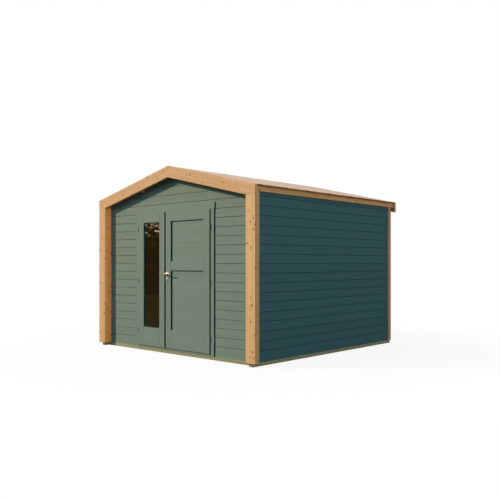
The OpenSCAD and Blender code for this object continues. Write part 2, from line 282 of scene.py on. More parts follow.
# Knots: branches cut through here and there, each with a dark core and a wide warm halo
KNOT_CELLS = Vector((14.0, 17.0, 17.0))
KNOT_STRETCH = 0.8
KNOT_UNEVEN = 0.003
knots, knots_in, knots_out = start_group("knots", {"Size": 0.011, "Share": 0.6}, {"Core": 0.0, "Halo": 0.0})
cells = scaled_grain(knots, KNOT_CELLS)
branch = add_node(knots, "ShaderNodeTexVoronoi", {"Vector": cells, "Scale": 1.0, "Randomness": 0.95})
from_branch = vector_sum(knots, "SUBTRACT", cells, branch.outputs["Position"])
cell_size = (KNOT_STRETCH / KNOT_CELLS.x, 1.0 / KNOT_CELLS.y, 1.0 / KNOT_CELLS.z)
distance = vector_sum(knots, "LENGTH", vector_sum(knots, "MULTIPLY", from_branch, cell_size))
uneven = noise(knots, scaled_grain(knots, (60.0, 90.0, 90.0)), 1.0, 1.0)
distance = sum_of(knots, "ADD", distance, times(knots, uneven, KNOT_UNEVEN))
pick = add_node(knots, "ShaderNodeSeparateColor", {"Color": branch.outputs["Color"]})
present = sum_of(knots, "LESS_THAN", pick.outputs[0], knots_in.outputs["Share"])
own_size = ramp(knots, pick.outputs[1], 0.0, 1.0, 0.45, 1.15)
reach = sum_of(knots, "DIVIDE", distance, times(knots, own_size, knots_in.outputs["Size"]))
core = times(knots, ramp(knots, reach, 0.7, 1.05, 1.0, 0.0), present)
halo = times(knots, ramp(knots, reach, 0.8, 3.2, 1.0, 0.0), present)
feed(knots, knots_out, {"Core": core, "Halo": halo})

# Board tone: each board a little lighter or darker, and redder or yellower, than its neighbours
HUE_SWING = 0.05
SAME_HUE = 0.5
WHITE = (1.0, 1.0, 1.0, 1.0)
board_tone, tone_in, tone_out = start_group("board_tone", {"Colour": WHITE, "Amount": 0.2}, {"Colour": WHITE})
own_tone = add_node(board_tone, "ShaderNodeAttribute", attribute_name="tone").outputs["Fac"]
off_middle = sum_of(board_tone, "SUBTRACT", own_tone, 0.5)
swing = times(board_tone, off_middle, tone_in.outputs["Amount"])
toned = add_node(
    board_tone,
    "ShaderNodeHueSaturation",
    {
        "Color": tone_in.outputs["Colour"],
        "Value": sum_of(board_tone, "ADD", swing, 1.0),
        "Hue": sum_of(board_tone, "MULTIPLY_ADD", swing, HUE_SWING, SAME_HUE),
    },
)
feed(board_tone, tone_out, {"Colour": toned.outputs[0]})


def new_material(name):
    """A new material, its node tree and its shader."""
    material = bpy.data.materials.new(name)
    material.use_nodes = True
    return material, material.node_tree, material.node_tree.nodes["Principled BSDF"]


def finish_wood(tree, surface, grown, colour, tone, rough_range, ring_relief, strength, depth):
    """The board's own tone, roughness that follows the fibre, and a faint relief of rings and fibre."""
    fibre = grown.outputs["Fibre"]
    relief = sum_of(tree, "MULTIPLY_ADD", grown.outputs["Rings"], ring_relief, fibre)
    bump = add_node(tree, "ShaderNodeBump", {"Height": relief, "Strength": strength, "Distance": depth})
    toned = add_node(tree, "ShaderNodeGroup", {"Colour": colour, "Amount": tone}, node_tree=board_tone)
    roughness = ramp(tree, fibre, 0.2, 0.8, *rough_range)
    finish = {"Base Color": toned.outputs["Colour"], "Roughness": roughness, "Normal": bump.outputs[0]}
    feed(tree, surface, finish)


def timber_material(
    name, early, late, knot, rings=0.45, bands=0.5, share=0.6, size=0.011, tone=0.25, rough=0.6
):
    """Planed timber: pale early wood, darker late wood, knots with halos, and a tone for each board."""
    material, tree, surface = new_material(name)
    grown = add_node(tree, "ShaderNodeGroup", node_tree=figure)
    spots = add_node(tree, "ShaderNodeGroup", {"Size": size, "Share": share}, node_tree=knots)
    ring_share = times(tree, grown.outputs["Rings"], rings)
    late_share = sum_of(tree, "MULTIPLY_ADD", grown.outputs["Bands"], bands, ring_share)
    wood = blend_colour(tree, sum_of(tree, "MINIMUM", late_share, 1.0), early, late)
    wood = blend_colour(tree, times(tree, spots.outputs["Halo"], 0.55), wood, late)
    wood = blend_colour(tree, times(tree, spots.outputs["Core"], 0.9), wood, knot)
    rough_range = (rough - 0.08, rough + 0.08)
    finish_wood(tree, surface, grown, wood, tone, rough_range, ring_relief=0.5, strength=0.25, depth=0.0006)
    return material


treated_softwood = timber_material(
    "treated_softwood",
    early=(0.352, 0.318, 0.146),
    late=(0.21, 0.196, 0.088),
    knot=(0.075, 0.06, 0.03),
    share=0.35,
    rough=0.72,
)
# Painted shade: a darker copy of the treated softwood for the side beams.
shaded_copy_softwood = timber_material(
    "shaded_copy_softwood",
    early=(0.27, 0.24, 0.118),
    late=(0.16, 0.148, 0.071),
    knot=(0.06, 0.045, 0.022),
    share=0.35,
    rough=0.72,
)
for node, axis, beam_timber in (
    ("base_beam_left", FRONT_TO_BACK, shaded_copy_softwood),
    ("base_beam_right", FRONT_TO_BACK, shaded_copy_softwood),
    ("base_beam_front", ALONG_FRONT, treated_softwood),
    ("base_beam_rear", ALONG_FRONT, treated_softwood),
):
    shape = bmesh.new()
    box_board(shape, *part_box(node), axis, BEAM_EASING)
    set_up(shape, node + "_timber", "root", "treated_timber", [beam_timber], node)

# Floor bearers. Three more treated lengths cross the base under the floor, evenly spaced
# between the front and the rear beam, so that the floor boards span short gaps.
BEARER_COUNT = 3
front_beam_low, front_beam_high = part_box("base_beam_front")
rear_beam_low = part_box("base_beam_rear")[0]
bearer_pace = (rear_beam_low.y - front_beam_low.y) / (BEARER_COUNT + 1)
shape = bmesh.new()
for number in range(BEARER_COUNT):
    along_base = Vector((0.0, (number + 1) * bearer_pace, 0.0))
    box_board(shape, front_beam_low + along_base, front_beam_high + along_base, ALONG_FRONT, BEAM_EASING)
set_up(shape, "floor_bearers_timber", "root", "treated_timber", [treated_softwood], "floor_bearers")

# Floor. Bare tongued softwood boards run front to back across the bearers, nailed down,
# with a small chamfer along each joint.
FLOOR_BOARDS = 25
FLOOR_EASING = 0.0015
bare_softwood = timber_material(
    "bare_softwood",
    early=(0.64, 0.46, 0.27),
    late=(0.43, 0.27, 0.13),
    knot=(0.16, 0.07, 0.03),
    share=0.5,
    rough=0.68,
)
floor_low, floor_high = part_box("floor_deck")
floor_cover = (floor_high.x - floor_low.x) / FLOOR_BOARDS
shape = bmesh.new()
for number in range(FLOOR_BOARDS):
    board_low = (floor_low.x + number * floor_cover, floor_low.y, floor_low.z)
    board_high = (floor_low.x + (number + 1) * floor_cover, floor_high.y, floor_high.z)
    box_board(shape, board_low, board_high, FRONT_TO_BACK, FLOOR_EASING, eased=LONG_EDGES)
set_up(shape, "floor_deck_boards", "root", "floor_boards", [bare_softwood], "floor_deck")

# Walls. Tongued boards lie level round the shed, each with a square shadow groove along its lower edge
# where it laps the one below, sawn to the roof's slope at the top. They are bare inside and painted
# grey-green outside; the right wall, the side out of the sun, takes a darker, cooler copy of the paint as
# painted shade, with a darker copy still in its grooves.
FIRST_JOINT = 0.169
BOARD_COVER = 0.1117
GROOVE_HIGH = 0.005
GROOVE_DEEP = 0.008
WALL_EASING = 0.0012
INSIDE, GROOVE = 1, 2
SUNNY_PAINT = (0.0715, 0.168, 0.160)
# Painted shade: a darker, cooler copy of the paint for the right wall, the side out of the sun.
SHADY_PAINT = (0.0125, 0.064, 0.076)
# Painted shade: a darker copy still for the right wall's grooves.
GROOVE_PAINTED_SHADE = tuple(0.6 * part for part in SHADY_PAINT)
WARM_SHEEN = (1.0, 0.62, 0.32)
COOL_SHEEN = (0.4, 0.6, 0.6)
FAINT_SHEEN = (0.05, 0.16, 0.18)
ROOF_PITCH = math.radians(13.1)
ROOF_BOARD = 0.018
ROOF_FIT = 0.0003
EASTWARD = (1.0, 0.0, 0.0)
UPWARD = (0.0, 0.0, 1.0)
ridge_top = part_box("portal_rafter_right")[1].z
soffit_ridge = (0.0, 0.0, ridge_top - ROOF_BOARD / math.cos(ROOF_PITCH) - ROOF_FIT)
right_slope = (math.sin(ROOF_PITCH), 0.0, math.cos(ROOF_PITCH))
left_slope = (-math.sin(ROOF_PITCH), 0.0, math.cos(ROOF_PITCH))
under_right_slope = [(soffit_ridge, right_slope)]
under_left_slope = [(soffit_ridge, left_slope)]
under_roof = under_right_slope + under_left_slope


def paint_material(name, colour, sheen, rough, tone, relief):
    """Satin paint on timber: brushed along the grain, with rings and knots just telling through."""
    material, tree, surface = new_material(name)
    grown = add_node(tree, "ShaderNodeGroup", node_tree=figure)
    spots = add_node(tree, "ShaderNodeGroup", {"Share": 0.3}, node_tree=knots)
    deep = tuple(part * 0.94 for part in colour)
    pale = tuple(part * 1.04 for part in colour)
    coat = blend_colour(tree, grown.outputs["Bands"], deep, pale)
    coat = blend_colour(tree, times(tree, grown.outputs["Rings"], 0.12), coat, deep)
    coat = blend_colour(tree, times(tree, spots.outputs["Halo"], 0.2), coat, deep)
    feed(tree, surface, {"IOR": 1.75, "Specular IOR Level": 1.0, "Specular Tint": (*sheen, 1.0)})
    rough_range = (rough - 0.05, rough + 0.07)
    finish_wood(tree, surface, grown, coat, tone, rough_range, ring_relief=0.4, strength=relief, depth=0.0004)
    return material


wall_paint = paint_material("wall_paint", SUNNY_PAINT, WARM_SHEEN, rough=0.84, tone=0.05, relief=0.25)
# Painted shade: the right wall's copies of the paint, darker on the wall and darker still in its grooves.
shade_paint = paint_material("shade_paint", SHADY_PAINT, COOL_SHEEN, rough=0.76, tone=0.05, relief=0.25)
groove_painted_shade = paint_material("groove_painted_shade", GROOVE_PAINTED_SHADE, FAINT_SHEEN, rough=0.85, tone=0.05, relief=0.2)


def joint_levels(low, high):
    """The levels of the board joints between two heights, with the two heights themselves."""
    levels = [low]
    level = FIRST_JOINT
    while level < high:
        if level > low + GROOVE_HIGH:
            levels.append(level)
        level += BOARD_COVER
    return levels + [high]


def clad(shape, corner, along, length, thick, bottom, top, cuts, lapped=False):
    """Lays wall boards from bottom to top, with their inner face on the corner and along the wall.
    The lowest has a groove only where it laps another one."""
    levels = joint_levels(bottom, top)
    for foot, head in zip(levels, levels[1:]):
        groove = GROOVE_HIGH if lapped or foot > bottom else 0.0
        cover = head - foot
        outline = [(0.0, 0.0), (cover, 0.0), (cover, thick), (groove, thick)]
        if groove:
            outline += [(groove, thick - GROOVE_DEEP), (0.0, thick - GROOVE_DEEP)]
        place = board_place((*corner, foot), along, UPWARD)
        lay_board(shape, place, outline, length, WALL_EASING, eased=LONG_EDGES, cuts=cuts, back=INSIDE)


front_nodes = ("front_wall_left", "front_wall_right", "front_gable")
left_low, left_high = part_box("front_wall_left")
right_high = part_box("front_wall_right")[1]
gable_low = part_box("front_gable")[0]
front_thick = left_high.y - left_low.y
over_doors = next(level for level in joint_levels(left_low.z, ridge_top) if level > gable_low.z)
shape = bmesh.new()
for node in front_nodes:
    low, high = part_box(node)
    corner = (low.x, left_high.y)
    clad(shape, corner, EASTWARD, high.x - low.x, front_thick, low.z, over_doors, under_roof)
corner = (left_low.x, left_high.y)
full_width = right_high.x - left_low.x
clad(shape, corner, EASTWARD, full_width, front_thick, over_doors, ridge_top, under_roof, lapped=True)
set_up(shape, "front_wall_boards", "root", "green_boards", [wall_paint, bare_softwood], *front_nodes)

low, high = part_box("right_wall")
shape = bmesh.new()
corner = (low.x, low.y)
clad(shape, corner, (0.0, 1.0, 0.0), high.y - low.y, high.x - low.x, low.z, high.z, under_right_slope)
shape.normal_update()
# Painted shade: the groove faces take the darkest copy of the paint.
for face in shape.faces:
    recessed = face.calc_center_median().x < high.x - GROOVE_DEEP / 2.0
    if face.normal.x > LOOKS_THAT_WAY and recessed or abs(face.normal.z) > LOOKS_THAT_WAY:
        face.material_index = GROOVE
right_finish = [shade_paint, bare_softwood, groove_painted_shade]
set_up(shape, "right_wall_boards", "root", "green_boards", right_finish, "right_wall")

low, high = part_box("left_wall")
shape = bmesh.new()
corner = (high.x, high.y)
clad(shape, corner, (0.0, -1.0, 0.0), high.y - low.y, high.x - low.x, low.z, high.z, under_left_slope)
set_up(shape, "left_wall_boards", "root", "green_boards", [wall_paint, bare_softwood], "left_wall")

low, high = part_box("rear_wall")
shape = bmesh.new()
corner = (high.x, low.y)
clad(shape, corner, (-1.0, 0.0, 0.0), high.x - low.x, high.y - low.y, low.z, ridge_top, under_roof)
set_up(shape, "rear_wall_boards", "root", "green_boards", [wall_paint, bare_softwood], "rear_wall")

# Corner studs and trims. Square studs close the porch behind the posts, the left one in a brighter, redder
# copy of the timber as painted light, standing in for warm light bounced into the porch, and flat boards in
# a darker copy as painted shade cover the wall boards' ends at all four corners.
# All are planed softwood with a clear finish, screwed on.
TRIM_EASING = 0.002
PLANED, PAINTED_BOUNCE, SHADED_COPY = range(3)
planed_timber = timber_material(
    "planed_timber",
    early=(0.655, 0.359, 0.159),
    late=(0.536, 0.269, 0.107),
    knot=(0.21, 0.047, 0.015),
    rings=0.6,
    bands=0.6,
    share=0.95,
    size=0.0125,
    tone=0.12,
)
# Painted shade: a darker, oranger copy of the planed timber for pieces that stand out of the sun.
shaded_copy_timber = timber_material(
    "shaded_copy_timber",
    early=(0.49, 0.278, 0.126),
    late=(0.375, 0.191, 0.076),
    knot=(0.17, 0.04, 0.015),
    size=0.012,
)
# Painted light: a brighter, redder copy of the planed timber, standing in for warm light bounced into the
# porch.
painted_bounce_timber = timber_material(
    "painted_bounce_timber",
    early=(0.94, 0.385, 0.09),
    late=(0.76, 0.268, 0.057),
    knot=(0.16, 0.045, 0.015),
    share=0.8,
    size=0.013,
)
post_low, post_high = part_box("portal_post_right")


def lay_pair(shape, node, inner, axis, right_cuts=(), left_cuts=()):
    """A board on the right, from its inner side to the node's outer one, and the same one on the left."""
    low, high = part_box(node)
    box_board(shape, (inner, low.y, low.z), high, axis, TRIM_EASING, cuts=right_cuts)
    box_board(shape, (-high.x, low.y, low.z), (-inner, high.y, high.z), axis, TRIM_EASING, cuts=left_cuts)


shape = bmesh.new()
lay_pair(shape, "corner_studs", post_low.x, UPRIGHT, under_right_slope, under_left_slope)
# Painted light: the left stud takes the bounce-lit copy of the timber.
for face in shape.faces:
    face.material_index = PAINTED_BOUNCE if face.calc_center_median().x < 0.0 else PLANED
set_up(shape, "corner_studs_timber", "root", "planed_timber", [planed_timber, painted_bounce_timber], "corner_studs")

wall_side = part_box("right_wall")[1].x
side_trim_low, side_trim_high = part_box("rear_side_trims")
back_trim_inner = side_trim_high.x - (side_trim_high.y - side_trim_low.y)
for node, inner in (
    ("front_corner_trims", wall_side),
    ("rear_side_trims", wall_side),
    ("rear_back_trims", back_trim_inner),
):
    shape = bmesh.new()
    lay_pair(shape, node, inner, UPRIGHT)
    # Painted shade: the trims take the darker copy of the planed timber.
    set_up(shape, node + "_timber", "root", "planed_timber", [shaded_copy_timber], node)

# Portal. Two posts and two rafters of planed heavy timber stand in front of the gable. The rafters, of
# a streaked batch, meet at a plumb mitre on the ridge and sit level on the posts' heads, held by hidden
# screws. The left post's inner side takes a brighter, redder copy of the timber as painted light, for light
# bounced into the porch, and the right post's outer side a darker copy as painted shade.
PORTAL_EASING = 0.0035
RAFTER_DEEP = 0.145
post_timbers = [planed_timber, painted_bounce_timber, shaded_copy_timber]
# Painted light and shade: the left post's inner face takes the bounce-lit copy, the right post's outer face
# the darker copy.
for node, side, inner, outer in (
    ("portal_post_left", -1.0, PAINTED_BOUNCE, PLANED),
    ("portal_post_right", 1.0, PLANED, SHADED_COPY),
):
    low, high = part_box(node)
    outline = square(high.y - low.y, high.x - low.x)
    inner_edge = (side * post_low.x, low.y if side < 0.0 else high.y, low.z)
    place = board_place(inner_edge, UPWARD, (0.0, -side, 0.0))
    shape = bmesh.new()
    lay_board(shape, place, outline, high.z - low.z, PORTAL_EASING, back=inner, front=outer)
    set_up(shape, node + "_timber", "root", "planed_timber", post_timbers, node)


def slope_ways(side):
    """The ways down one slope of the roof and square out of it."""
    down = Vector((side * math.cos(ROOF_PITCH), 0.0, -math.sin(ROOF_PITCH)))
    up = Vector((side * math.sin(ROOF_PITCH), 0.0, math.cos(ROOF_PITCH)))
    return down, up


def plumb_cuts(node, side):
    """The upright saw cuts at the ridge and at the eave end of a sloping piece."""
    low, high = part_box(node)
    eave = max(high.x, -low.x) * side
    return [((0.0, 0.0, 0.0), (-side, 0.0, 0.0)), ((eave, 0.0, 0.0), (side, 0.0, 0.0))]


def lay_rafter(shape, node, side, more_cuts):
    """A rafter from ridge to eave on one side, cut plumb at both ends."""
    low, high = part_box(node)
    down, up = slope_ways(side)
    edge_y = high.y if side > 0 else low.y
    start = Vector((0.0, edge_y, ridge_top)) - up * RAFTER_DEEP - down * RAFTER_DEEP
    outline = square(RAFTER_DEEP, high.y - low.y)
    span = (high.x - low.x) / math.cos(ROOF_PITCH) + 3.0 * RAFTER_DEEP
    cuts = plumb_cuts(node, side) + more_cuts
    lay_board(shape, board_place(start, down, up), outline, span, PORTAL_EASING, cuts=cuts)


streaked_timber = timber_material(
    "streaked_timber",
    early=(0.632, 0.335, 0.143),
    late=(0.50, 0.239, 0.090),
    knot=(0.21, 0.047, 0.015),
    rings=0.65,
    bands=0.75,
    share=0.95,
    size=0.0125,
    tone=0.12,
)
seat = [((0.0, 0.0, post_high.z), (0.0, 0.0, -1.0))]
for node, side in (("portal_rafter_left", -1.0), ("portal_rafter_right", 1.0)):
    shape = bmesh.new()
    lay_rafter(shape, node, side, seat)
    set_up(shape, node + "_timber", "root", "planed_timber", [streaked_timber], node)

# Rear rafters and purlins. A second pair of rafters closes the roof at the back, and three purlins,
# one of them under the ridge, run from the portal to that pair through the gables.
# Their upper edges are planed to the slope of the roof boards that they carry.
for node, side in (("rear_rafter_left", -1.0), ("rear_rafter_right", 1.0)):
    shape = bmesh.new()
    lay_rafter(shape, node, side, [])
    # Painted shade: the rear rafters take the darker copy of the planed timber.
    set_up(shape, node + "_timber", "root", "planed_timber", [shaded_copy_timber], node)

low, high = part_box("ridge_purlin")
purlin_wide = high.x - low.x
shape = bmesh.new()
box_board(shape, low, (high.x, high.y, ridge_top), FRONT_TO_BACK, TRIM_EASING, cuts=under_roof)
set_up(shape, "ridge_purlin_timber", "root", "planed_timber", [planed_timber], "ridge_purlin")

shape = bmesh.new()
purlin_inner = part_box("side_purlins")[1].x - purlin_wide
lay_pair(shape, "side_purlins", purlin_inner, FRONT_TO_BACK, under_right_slope, under_left_slope)
set_up(shape, "side_purlins_timber", "root", "planed_timber", [planed_timber], "side_purlins")

# Roof. Bare boards run from ridge to eave over the purlins, nailed down, with chamfered joints.
# Their sawn ends, which vary a lot in tone, show as a dark line above the fascia,
# and the board over the portal takes the same dark finish on its underside as painted shade in the porch.
ROOF_BOARDS = 34
ROOF_EASING = 0.003
ROOF_SPARE = 0.1
SAWN_AND_SHADE, BARE = 1, 2
roof_softwood = timber_material(
    "roof_softwood",
    early=(0.85, 0.487, 0.366),
    late=(0.678, 0.344, 0.235),
    knot=(0.30, 0.14, 0.08),
    rings=0.3,
    share=0.4,
    rough=0.85,
)
# Dark sawn end grain, also used as painted shade under the board over the portal.
sawn_ends_and_soffit_shade = timber_material(
    "sawn_ends_and_soffit_shade",
    early=(0.31, 0.145, 0.035),
    late=(0.17, 0.07, 0.016),
    knot=(0.05, 0.02, 0.01),
    rings=0.8,
    share=0.2,
    tone=0.7,
    rough=0.8,
)
for node, side in (("roof_deck_left", -1.0), ("roof_deck_right", 1.0)):
    low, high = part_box(node)
    down, up = slope_ways(side)
    back_way = Vector((0.0, side, 0.0))
    cover = (high.y - low.y) / ROOF_BOARDS
    first_y = low.y if side > 0 else high.y
    outline = square(cover, ROOF_BOARD)
    length = (high.x - low.x) / math.cos(ROOF_PITCH) + 2.0 * ROOF_SPARE
    cuts = plumb_cuts(node, side)
    shape = bmesh.new()
    for number in range(ROOF_BOARDS):
        ridge_point = Vector((0.0, first_y, ridge_top)) + back_way * number * cover
        start = ridge_point - up * ROOF_BOARD - down * ROOF_SPARE
        # Painted shade: the board over the portal takes the dark end finish on its underside.
        shaded_over_portal = abs(start.y + back_way.y * cover / 2.0 - low.y) < cover
        under = SAWN_AND_SHADE if shaded_over_portal else BARE
        place = board_place(start, down, back_way)
        lay_board(shape, place, outline, length, ROOF_EASING, LONG_EDGES, cuts, ends=SAWN_AND_SHADE, back=under)
    set_up(shape, node + "_boards", "root", "roof_boards", [roof_softwood, sawn_ends_and_soffit_shade, bare_softwood], node)

# Eaves fascias. A planed board under each eave covers the wall's top edge and the roof boards'
# underside; it is planed to the slope at its upper edge and butts between the rafters.
for node, cuts in (("eaves_fascia_left", under_left_slope), ("eaves_fascia_right", under_right_slope)):
    shape = bmesh.new()
    box_board(shape, *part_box(node), FRONT_TO_BACK, TRIM_EASING, cuts=cuts)
    # Painted shade: the fascias take the darker copy of the planed timber.
    set_up(shape, node + "_timber", "root", "planed_timber", [shaded_copy_timber], node)

# Door frame. A planed lining round the doorway carries flat casings on its face, with a longer head
# board across the top and a threshold between them. All is painted like the walls, with eased edges,
# and its narrow faces that look to the right take a near-black copy of the paint as painted shade.
LINING_EASING = 0.0015
CASING_EASING = 0.0025
LOOKS_RIGHT = 0.7
REVEAL = 1
# Painted shade: a near-black copy of the paint for narrow faces that look to the right.
REVEAL_PAINTED_SHADE = tuple(0.25 * part for part in SHADY_PAINT)
joinery_paint = paint_material("joinery_paint", SUNNY_PAINT, WARM_SHEEN, rough=0.83, tone=0.02, relief=0.2)
reveal_painted_shade = paint_material("reveal_painted_shade", REVEAL_PAINTED_SHADE, FAINT_SHEEN, rough=0.85, tone=0.02, relief=0.2)


def set_up_joinery(shape, name, body, node):
    """Sets up a painted piece of joinery; its faces that look to the right take painted shade."""
    shape.normal_update()
    for face in shape.faces:
        # Painted shade on the faces that look to the right.
        if face.normal.x > LOOKS_RIGHT:
            face.material_index = REVEAL
    set_up(shape, name, body, "green_joinery", [joinery_paint, reveal_painted_shade], node)


jamb_low, jamb_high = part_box("door_jambs")
sill_low, sill_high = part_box("threshold")
shape = bmesh.new()
box_board(shape, jamb_low, (sill_low.x, jamb_high.y, jamb_high.z), UPRIGHT, LINING_EASING)
box_board(shape, (sill_high.x, jamb_low.y, jamb_low.z), jamb_high, UPRIGHT, LINING_EASING)
set_up_joinery(shape, "door_jambs_lining", "root", "door_jambs")
for node, axis in (
    ("door_head_jamb", ALONG_FRONT),
    ("casing_head", ALONG_FRONT),
    ("casing_left", UPRIGHT),
    ("casing_right", UPRIGHT),
    ("threshold", ALONG_FRONT),
):
    shape = bmesh.new()
    box_board(shape, *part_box(node), axis, CASING_EASING)
    set_up_joinery(shape, node + "_board", "root", node)

# Left leaf. A narrow framed door: two stiles and two rails, morticed together and painted.
# A thin lip along its top laps over the head board.
LIP_THICK = 0.007
HEAD_GAP = 0.005
LEAF_EASING = 0.002
UP_A_STILE = (2, 0, 1)
leaf_low, leaf_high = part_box("left_leaf_stiles")
pane_low, pane_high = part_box("glazing_beads")
leaf_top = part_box("casing_head")[0].z - HEAD_GAP


def lay_leaf_part(shape, x0, x1, z0, turn):
    """Part of a leaf up to its top, with the lip; the grain runs up a stile and along a rail."""
    face = leaf_low.y
    thick = leaf_high.y - face
    outline = [
        (0.0, 0.0),
        (thick, 0.0),
        (thick, leaf_top - z0),
        (LIP_THICK, leaf_top - z0),
        (LIP_THICK, leaf_high.z - z0),
        (0.0, leaf_high.z - z0),
    ]
    place = board_place((x0, face, z0), EASTWARD, (0.0, 1.0, 0.0))
    lay_board(shape, place, outline, x1 - x0, LEAF_EASING, turn=turn)


shape = bmesh.new()
lay_leaf_part(shape, leaf_low.x, pane_low.x, leaf_low.z, UP_A_STILE)
lay_leaf_part(shape, pane_high.x, leaf_high.x, leaf_low.z, UP_A_STILE)
set_up_joinery(shape, "left_leaf_stiles_timber", "left_door", "left_leaf_stiles")
shape = bmesh.new()
rail_low = (pane_low.x, leaf_low.y, leaf_low.z)
box_board(shape, rail_low, (pane_high.x, leaf_high.y, pane_low.z), ALONG_FRONT, LEAF_EASING)
lay_leaf_part(shape, pane_low.x, pane_high.x, pane_high.z, AS_LAID)
set_up_joinery(shape, "left_leaf_rails_timber", "left_door", "left_leaf_rails")

# Meeting strip. A slim cover strip is pinned to the left leaf's meeting edge,
# with its front edges rounded, and closes the gap between the leaves.
STRIP_EASING = 0.003
shape = bmesh.new()
box_board(shape, *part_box("meeting_strip"), UPRIGHT, STRIP_EASING)
set_up_joinery(shape, "meeting_strip_timber", "left_door", "meeting_strip")

# Glazing beads. Mitred square beads hold the pane from both faces, four lengths a side,
# pinned into the stiles and rails and painted with them.
BEAD_WIDE = 0.008
BEAD_DEEP = 0.006
BEAD_EASING = 0.0015
shape = bmesh.new()
for near in (pane_low.y, pane_high.y - BEAD_DEEP):
    far = near + BEAD_DEEP
    for z0, rise, edge_z in (
        (pane_low.z, 1.0, pane_low.z),
        (pane_high.z - BEAD_WIDE, -1.0, pane_high.z),
    ):
        mitres = [
            ((pane_low.x, 0.0, edge_z), (-1.0, 0.0, rise)),
            ((pane_high.x, 0.0, edge_z), (1.0, 0.0, rise)),
        ]
        bead = ((pane_low.x, near, z0), (pane_high.x, far, z0 + BEAD_WIDE))
        box_board(shape, *bead, ALONG_FRONT, BEAD_EASING, eased=LONG_EDGES, cuts=mitres)
    for x0, run, edge_x in (
        (pane_low.x, 1.0, pane_low.x),
        (pane_high.x - BEAD_WIDE, -1.0, pane_high.x),
    ):
        mitres = [
            ((edge_x, 0.0, pane_low.z), (run, 0.0, -1.0)),
            ((edge_x, 0.0, pane_high.z), (run, 0.0, 1.0)),
        ]
        bead = ((x0, near, pane_low.z), (x0 + BEAD_WIDE, far, pane_high.z))
        box_board(shape, *bead, UPRIGHT, BEAD_EASING, eased=LONG_EDGES, cuts=mitres)
set_up_joinery(shape, "glazing_beads_timber", "left_door", "glazing_beads")

# Pane. One sheet of clear float glass with ground edges sits between the two bead frames.
# It has a slight warm tint and a breath of dust that clouds it here and there.
PANE_EASING = 0.0008
glass, tree, surface = new_material("float_glass")
dust = noise(tree, add_node(tree, "ShaderNodeTexCoord").outputs["Object"], 9.0, 4.0)
tint = blend_colour(tree, dust, (0.80, 0.78, 0.62), (0.86, 0.83, 0.70))
feed(tree, surface, {"Base Color": tint, "Roughness": ramp(tree, dust, 0.45, 0.8, 0.0, 0.06)})
feed(tree, surface, {"Transmission Weight": 1.0, "IOR": 1.5})
shape = bmesh.new()
box_board(shape, *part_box("pane"), UPRIGHT, PANE_EASING)
set_up(shape, "pane_sheet", "left_door", "pane", [glass], "pane")

# Right leaf. The wide framed door: two stiles, and three rails that part it into a tall lower
# and a shorter upper panel. It is morticed and painted like its neighbour.
MIDDLE_RAIL = (1.088, 1.207)
wide_low, wide_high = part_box("right_leaf_stiles")
panel_low, panel_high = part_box("right_leaf_panels")
shape = bmesh.new()
lay_leaf_part(shape, wide_low.x, panel_low.x, wide_low.z, UP_A_STILE)
lay_leaf_part(shape, panel_high.x, wide_high.x, wide_low.z, UP_A_STILE)
set_up_joinery(shape, "right_leaf_stiles_timber", "right_door", "right_leaf_stiles")
shape = bmesh.new()
for foot, head in ((wide_low.z, panel_low.z), MIDDLE_RAIL):
    rail = ((panel_low.x, wide_low.y, foot), (panel_high.x, wide_high.y, head))
    box_board(shape, *rail, ALONG_FRONT, LEAF_EASING)
lay_leaf_part(shape, panel_low.x, panel_high.x, panel_high.z, AS_LAID)
set_up_joinery(shape, "right_leaf_rails_timber", "right_door", "right_leaf_rails")

# Door panels. Thin level boards with fine joints fill both openings of the right leaf,
# held in grooves of the frame.
PANEL_COVER = 0.0795
PANEL_EASING = 0.0015
shape = bmesh.new()
for bottom, top in ((panel_low.z, MIDDLE_RAIL[0]), (MIDDLE_RAIL[1], panel_high.z)):
    for number in range(math.ceil((top - bottom) / PANEL_COVER)):
        foot = bottom + number * PANEL_COVER
        head = min(top, foot + PANEL_COVER)
        slat = ((panel_low.x, panel_low.y, foot), (panel_high.x, panel_high.y, head))
        box_board(shape, *slat, ALONG_FRONT, PANEL_EASING, eased=LONG_EDGES)
set_up_joinery(shape, "right_leaf_panels_boards", "right_door", "right_leaf_panels")

# Hinges. Three turned two-part hinges a leaf, with domed barrels beside the leaf's edge, in dark bronze
# metal; the lower knuckle stands on the casing and the upper one on that edge, each on a short flat fin.
BARREL_HIGH = 0.060
KNUCKLE_GAP = 0.0008
KNUCKLE_R = 0.006
KNUCKLE_EASING = 0.0006
DOME_HIGH = 0.6 * KNUCKLE_R
DOME_STEPS = (0.0, 0.4, 0.8, 1.2)
LINE_SHARE = 0.45
LINE_DEEP = 0.0005
FIN_THICK = 0.004
FIN_EASING = 0.0008
FIN_SHORT = 0.004

# Cloudy tarnish and fine scratches, for all the metal
tarnish, tarnish_in, tarnish_out = start_group("tarnish", {"Scale": 50.0}, {"Cloud": 0.0, "Scratches": 0.0})
metal_place = add_node(tarnish, "ShaderNodeTexCoord").outputs["Object"]
scratch_scale = times(tarnish, tarnish_in.outputs["Scale"], 12.0)
cloud = noise(tarnish, metal_place, tarnish_in.outputs["Scale"], 5.0, 0.6)
feed(tarnish, tarnish_out, {"Cloud": cloud, "Scratches": noise(tarnish, metal_place, scratch_scale, 2.0)})


